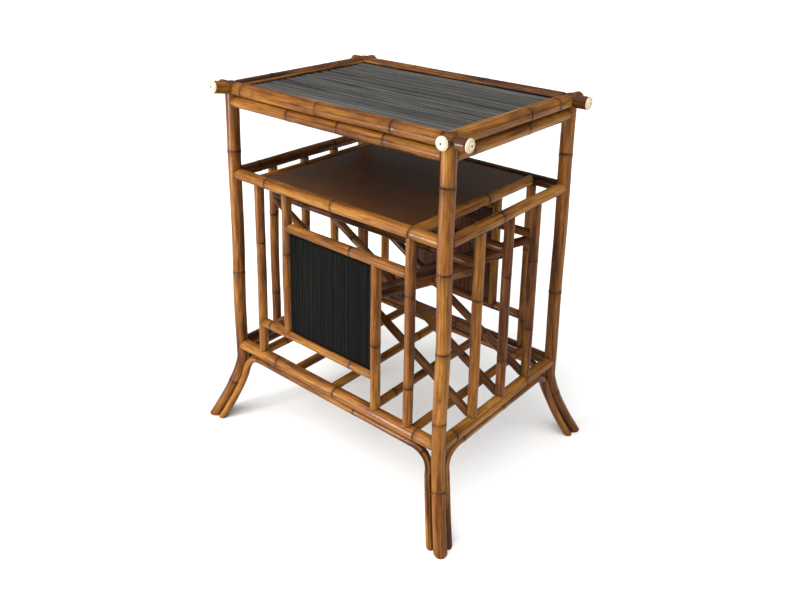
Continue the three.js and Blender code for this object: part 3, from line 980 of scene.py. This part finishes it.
def reed_sheet(name, place, widths, rows, crown, gaps, rng):
    """Split reeds side by side. place(u, v, h) gives a point: u is 0 to 1 along the reeds, v is 0 to 1
    across the sheet and h is a share of its thickness, 0 behind and 1 at the face.
    """
    vertices, faces, grain, tones, edges = [], [], [], [], []
    points = len(REED_SHARES) + 2
    total = sum(widths)
    done = 0.0
    for width in widths:
        start_v, stop_v = done / total, (done + width) / total
        done += width
        lift = rng.uniform(-0.10, 0.06)
        slope = rng.uniform(-0.10, 0.10)
        wave = [rng.uniform(0, TURN) for _ in range(3)]
        gap = rng.choice(gaps) / total
        # Painted shade: how dark this reed's edges and the walls of its gaps are drawn.
        darkness = rng.uniform(0.60, 1.0)
        tone = rng.uniform(-0.5, 0.5)
        shift = rng.uniform(0, 9)
        faces += loft_faces(rows, points, len(vertices), flip=True)
        for i in range(rows + 1):
            u = i / rows
            left = start_v + gap * (0.5 + 0.4 * math.sin(9 * u + wave[0]))
            right = stop_v - gap * (0.5 + 0.4 * math.sin(7 * u + wave[1]))
            ripple = 0.05 * math.sin(11 * u + wave[2]) + slope * (u - 0.5)
            ring = [(left, 0.0, 1.0)]
            for share in REED_SHARES:
                rise = 1 - crown * abs(2 * share - 1) ** 2.4 + lift + ripple
                edge = max(0.0, 1 - min(share, 1 - share) / REED_EDGE)
                height = max(THINNEST_REED, rise - EDGE_DROP * edge**2)
                ring.append((left + (right - left) * share, height, edge))
            ring.append((right, 0.0, 1.0))
            for v, h, edge in ring:
                vertices.append(place(u, v, h))
                grain.append((v * total + shift, h * 0.002, u * 0.45 + shift))
                tones.append(tone)
                edges.append(edge * darkness)
    piece = make_object(name, vertices, faces)
    paint(piece, "grain", grain)
    paint(piece, "tone", tones)
    paint(piece, "ring", edges)
    return piece


def random_widths(total, low, high, rng):
    widths = []
    while sum(widths) < total:
        widths.append(rng.uniform(low, high))
    scale = total / sum(widths)
    return [width * scale for width in widths]


# Black for the reeds' cracks and for the painted shade at their edges.
CRACK_AND_SHADE_BLACK = (0.004, 0.004, 0.004)


def reed_material(name, tones, gloss, specular, contrast):
    """Split reed under stain: each reed its own tone, streaks and cracks along it, painted shade at its
    edges.

    tones are the dark, middle and light colours, and contrast is how much reeds differ from each other.
    """
    g = Graph(name)
    streak = g.noise((1000, 400, 14), detail=4, roughness=0.6)
    broad = g.noise((90, 60, 7), detail=4)
    split = g.span(g.noise((330, 100, 4)), 0.57, 0.61)
    level = g.span(streak, 0.3, 0.7, 0.46 - 0.28 * contrast, 0.46 + 0.28 * contrast)
    level = g.plus(level, g.times(g.attribute("tone"), contrast))
    level = g.plus(level, g.span(broad, 0.3, 0.7, -0.5 * contrast, 0.5 * contrast), clamp=True)
    layers = (
        (g.times(split, 0.8), CRACK_AND_SHADE_BLACK),
        # Painted shade at the reeds' edges and on the walls of the gaps between them.
        (g.times(g.attribute("ring"), 0.95), CRACK_AND_SHADE_BLACK),
    )
    colour = g.layered(g.ramp(level, list(zip((0.0, 0.5, 1.0), tones))), layers)
    g.bump(g.math("SUBTRACT", g.times(streak, 0.7), g.times(split, 0.8)), 0.0005, 0.35)
    rough = g.span(streak, 0.3, 0.7, gloss - 0.06, gloss + 0.12)
    return g.surface(colour, rough, specular=specular)


CHARCOAL_TONES = ((0.016, 0.016, 0.015), (0.074, 0.072, 0.068), (0.165, 0.166, 0.162))
BLACK_TONES = ((0.0008, 0.0008, 0.0007), (0.0028, 0.0030, 0.0025), (0.010, 0.011, 0.008))
BROWN_TONES = ((0.026, 0.007, 0.003), (0.066, 0.019, 0.006), (0.115, 0.040, 0.012))
CHARCOAL_REED = reed_material("charcoal_reed", CHARCOAL_TONES, gloss=0.40, specular=0.10, contrast=0.27)
BLACK_REED = reed_material("black_reed", BLACK_TONES, gloss=0.54, specular=0.03, contrast=0.22)
BROWN_REED = reed_material("brown_reed", BROWN_TONES, gloss=0.48, specular=0.12, contrast=0.25)


# ------------------------------------------------------------------ boards
def board_material(name, tones, gloss):
    """A stained board: faint grain along x, cloudy wear and fine scuffs. tones run from dark to light."""
    g = Graph(name)
    fine = g.noise((18, 620, 620), detail=4, roughness=0.6)
    cloud = g.noise((7, 11, 11), detail=4)
    scuff = g.noise((160, 45, 160), detail=5, roughness=0.7)
    level = g.plus(g.span(cloud, 0.3, 0.7, 0.28, 0.70), g.span(fine, 0.3, 0.7, -0.12, 0.12))
    level = g.plus(level, g.span(scuff, 0.58, 0.75, 0.0, 0.14), clamp=True)
    colour = g.ramp(level, list(zip((0.0, 0.5, 1.0), tones)))
    g.bump(g.plus(g.times(fine, 0.5), g.times(scuff, 0.3)), 0.0003, 0.35)
    rough = g.plus(g.span(cloud, 0.3, 0.7, gloss - 0.05, gloss + 0.08), g.span(scuff, 0.5, 0.8, 0.0, 0.10))
    return g.surface(colour, rough, coat_roughness=0.25, specular=0.22)


UNDERBOARD_TONES = ((0.008, 0.005, 0.003), (0.018, 0.012, 0.008), (0.036, 0.025, 0.016))
SHELF_TONES = ((0.024, 0.008, 0.003), (0.062, 0.024, 0.008), (0.112, 0.050, 0.021))
UNDERBOARD = board_material("underboard", UNDERBOARD_TONES, gloss=0.60)
SHELF_BROWN = board_material("shelf_board", SHELF_TONES, gloss=0.38)


def slab(name, low, high, edge, steps=4):
    """A board with rounded edges and corners, lofted from rounded rectangles."""
    outline = []
    for corner, (side_x, side_y) in enumerate(((1, 1), (-1, 1), (-1, -1), (1, -1))):
        for i in range(steps + 1):
            angle = (corner + i / steps) * math.pi / 2
            outline.append((side_x, side_y, math.cos(angle), math.sin(angle)))
    middle = (low + high) / 2
    half = (high - low) / 2
    levels = []
    for i in range(steps + 1):
        turn = math.pi / 2 * i / steps
        levels.append((edge * (1 - math.sin(turn)), low.z + edge * (1 - math.cos(turn))))
    levels += [(inset, low.z + high.z - z) for inset, z in reversed(levels)]
    vertices = []
    for inset, z in levels:
        for side_x, side_y, cosine, sine in outline:
            x = middle.x + side_x * (half.x - edge) + cosine * (edge - inset)
            y = middle.y + side_y * (half.y - edge) + sine * (edge - inset)
            vertices.append((x, y, z))
    piece = make_object(name, vertices, loft_faces(len(levels) - 1, len(outline)))
    piece.data.polygons[-1].use_smooth = False
    piece.data.polygons[-2].use_smooth = False
    paint(piece, "grain", vertices)
    return piece


def draw_shelf():
    board = slab("shelf_board_slab", *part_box("shelf_board"), edge=0.0016)
    finish_piece(board, SHELF_BROWN, ["shelf_board"])


# ------------------------------------------------------------------ top and panels
def draw_top():
    """The reeds of the top, the thin board under them and the raised moulding round them."""
    low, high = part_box("top_board")
    rng = random.Random("top reeds")
    base = high.z - TOP_REED

    def place(u, v, h):
        return Vector((low.x + (high.x - low.x) * u, low.y + (high.y - low.y) * v, base + TOP_REED * h))

    widths = random_widths(high.y - low.y, 0.0090, 0.0260, rng)
    reeds = reed_sheet("top_reeds", place, widths, 60, 0.16, TOP_REED_GAPS, rng)
    finish_piece(reeds, CHARCOAL_REED, ["top_board"])
    under = slab("top_underboard", low, Vector((high.x, high.y, base - 0.0002)), edge=0.0008)
    finish_piece(under, UNDERBOARD)

    corners = [(-1, -1), (1, -1), (1, 1), (-1, 1)]
    for index, side in enumerate(("front", "right", "back", "left")):
        draw_moulding(side, corners[index], corners[(index + 1) % 4], low.x)


def draw_moulding(side, start, end, board_x):
    """One length of split cane, mitred at both ends: square below and rounded above."""
    outer_low, outer_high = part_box("top_moulding")
    width = board_x - outer_low.x - GAP + MOULDING_TUCK
    rise = outer_high.z - outer_low.z
    shoulder = rise - width * 0.55
    section = [(0.0, 0.0), (0.0, shoulder)]
    for i in range(1, 10):
        turn = math.pi * i / 10
        section.append((width / 2 * (1 - math.cos(turn)), shoulder + width * 0.55 * math.sin(turn)))
    section += [(width, shoulder), (width, 0.0)]

    rows = 48
    vertices, grain, crevice_shade = [], [], []
    shift = random.Random("moulding " + side).uniform(0, 5)
    for i in range(rows + 1):
        t = i / rows
        wave = 0.00012 * math.sin(17 * t + shift)
        for inset, z in section:
            half_x = outer_high.x + MOULDING_TUCK - inset
            half_y = outer_high.y + MOULDING_TUCK - inset
            a = Vector((start[0] * half_x, start[1] * half_y))
            b = Vector((end[0] * half_x, end[1] * half_y))
            point = a.lerp(b, t)
            vertices.append((point.x, point.y, outer_low.z + z + (wave if z > 0 else 0)))
            grain.append((inset + shift, z, (a - b).length * t + shift))
            # Painted shade: a dark line along the outer side, where the moulding meets the top cane, and
            # along its inner side by the reeds.
            crevice_shade.append(0.95 if inset < 0.1 * width or inset > 0.98 * width else 0.0)
    piece = make_object(f"moulding_{side}", vertices, loft_faces(rows, len(section)))
    paint(piece, "grain", grain)
    # Paler for wear, plus painted shade on the left and back and painted light on the front and right.
    paint(piece, "tone", np.full(len(vertices), MOULDING_TONE + SIDE_SHADING_TONES[side]))
    paint(piece, "ring", crevice_shade)
    paint(piece, "stain", np.zeros(len(vertices)))
    finish_piece(piece, BAMBOO, ["top_moulding"])


def draw_panels():
    """Black reeds outside, brown ones inside and a thin core between them, in the middle of a pinwheel."""
    for side, facing in (("front", -1), ("back", 1)):
        node = f"{side}_panel"
        low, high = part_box(node)
        half_thick = (high.y - low.y - abs(half_span(1, low.z) - half_span(1, high.z))) / 2
        core = half_thick - PANEL_REED

        def edge(z):
            return INNER_STILE * half_span(0, z) - SPINDLE_R - GAP

        def face_place(outward):
            def place(u, v, h):
                z = low.z + (high.z - low.z) * u
                across = 2 * v - 1 if facing * outward < 0 else 1 - 2 * v
                depth = core + PANEL_REED * h
                return Vector((across * edge(z), facing * (half_span(1, z) + outward * depth), z))

            return place

        for layer, outward, material in (("outer", 1, BLACK_REED), ("inner", -1, BROWN_REED)):
            rng = random.Random(f"{side} {layer} reeds")
            widths = random_widths(2 * edge(centre(node).z), 0.0035, 0.0105, rng)
            name = f"{node}_{layer}_reeds"
            reeds = reed_sheet(name, face_place(outward), widths, 30, 0.05, PANEL_REED_GAPS, rng)
            finish_piece(reeds, material, [node])

        vertices = []
        for z in (low.z, high.z):
            for x, depth in ((-1, -1), (1, -1), (1, 1), (-1, 1)):
                y = facing * half_span(1, z) + depth * (core - 0.0001)
                vertices.append((x * edge(z), y, z))
        piece = make_object(f"{node}_core", vertices, loft_faces(1, 4), smooth=False)
        paint(piece, "grain", vertices)
        finish_piece(piece, UNDERBOARD)


# ------------------------------------------------------------------ floor, light and camera
CAMERA_PLACE = Vector((0.8422, -1.0016, 0.9789))
CAMERA_AZIMUTH = math.radians(39.633)
CAMERA_ELEVATION = math.radians(28.143)
CAMERA_ROLL = math.radians(-1.20)
CAMERA_LENS_MM = 34.22


def direction(azimuth, elevation):
    """The way to a place in the sky. Azimuth 0 is the front (-Y) and a quarter turn is the right (+X)."""
    flat = math.cos(elevation)
    return Vector((math.sin(azimuth) * flat, -math.cos(azimuth) * flat, math.sin(elevation)))


def add_camera():
    data = bpy.data.cameras.new("camera")
    data.lens = CAMERA_LENS_MM
    data.sensor_width = 36
    data.dof.use_dof = False
    camera = put_in_scene("camera", data)
    back = direction(CAMERA_AZIMUTH, CAMERA_ELEVATION)
    level = Vector((math.cos(CAMERA_AZIMUTH), math.sin(CAMERA_AZIMUTH), 0))
    right = level * math.cos(CAMERA_ROLL) - back.cross(level) * math.sin(CAMERA_ROLL)
    turned_axes = Matrix((right, back.cross(right), back)).transposed()
    camera.matrix_world = Matrix.Translation(CAMERA_PLACE) @ turned_axes.to_4x4()
    bpy.context.scene.camera = camera


def add_light(name, kind, power, colour):
    data = bpy.data.lights.new(name, kind)
    data.energy = power
    data.color = colour
    return put_in_scene(name, data)


def add_sun(name, azimuth, elevation, strength, spread, colour=(1, 1, 1)):
    """Soft even light over the whole floor, from a part of the sky as wide as spread."""
    light = add_light(name, "SUN", strength, colour)
    light.data.angle = math.radians(spread)
    towards = direction(math.radians(azimuth), math.radians(elevation))
    light.rotation_euler = towards.to_track_quat("Z", "Y").to_euler()


def add_strip(place, target, width, height, power):
    """A low strip of light that draws highlights down the uprights."""
    light = add_light("strip", "AREA", power, (1, 1, 1))
    light.data.shape = "RECTANGLE"
    light.data.size = width
    light.data.size_y = height
    light.location = place
    light.rotation_euler = (Vector(target) - Vector(place)).to_track_quat("-Z", "Y").to_euler()
    light.visible_camera = False


def add_world(strength):
    """A dim even surround that looks white to the camera."""
    world = bpy.data.worlds.new("surround")
    world.use_nodes = True
    nodes, links = world.node_tree.nodes, world.node_tree.links
    dim = nodes["Background"]
    dim.inputs["Strength"].default_value = strength
    pale = nodes.new("ShaderNodeBackground")
    for background in (dim, pale):
        background.inputs["Color"].default_value = (1, 1, 1, 1)
    seen = nodes.new("ShaderNodeLightPath")
    choose = nodes.new("ShaderNodeMixShader")
    links.new(seen.outputs["Is Camera Ray"], choose.inputs[0])
    links.new(dim.outputs[0], choose.inputs[1])
    links.new(pale.outputs[0], choose.inputs[2])
    links.new(choose.outputs[0], nodes["World Output"].inputs["Surface"])
    bpy.context.scene.world = world
    bpy.context.scene.view_settings.view_transform = "Standard"


def add_floor(half):
    g = Graph("pale_floor")
    g.surface((0.80, 0.80, 0.80, 1), 0.9, specular=0.0)
    corners = [(-half, -half, 0), (half, -half, 0), (half, half, 0), (-half, half, 0)]
    floor = make_object("floor", corners, [(0, 1, 2, 3)])
    floor.data.materials.append(g.material)


add_camera()
draw_posts()
draw_stubs()
draw_rails()
draw_fretwork()
draw_spindles()
draw_bearers()
draw_slats()
draw_dividers()
draw_braces()
draw_top()
draw_panels()
draw_shelf()
add_floor(20)
add_world(0.16)
add_sun("key", -12, 50, 3.6, 70, (1.0, 0.975, 0.93))
add_sun("right_fill", 75, 34, 1.5, 80, (0.93, 0.97, 1.0))
add_sun("overhead", 60, 82, 1.5, 130)
add_strip((-0.78, -1.75, 0.30), (0, 0, 0.45), 0.16, 0.60, 34)
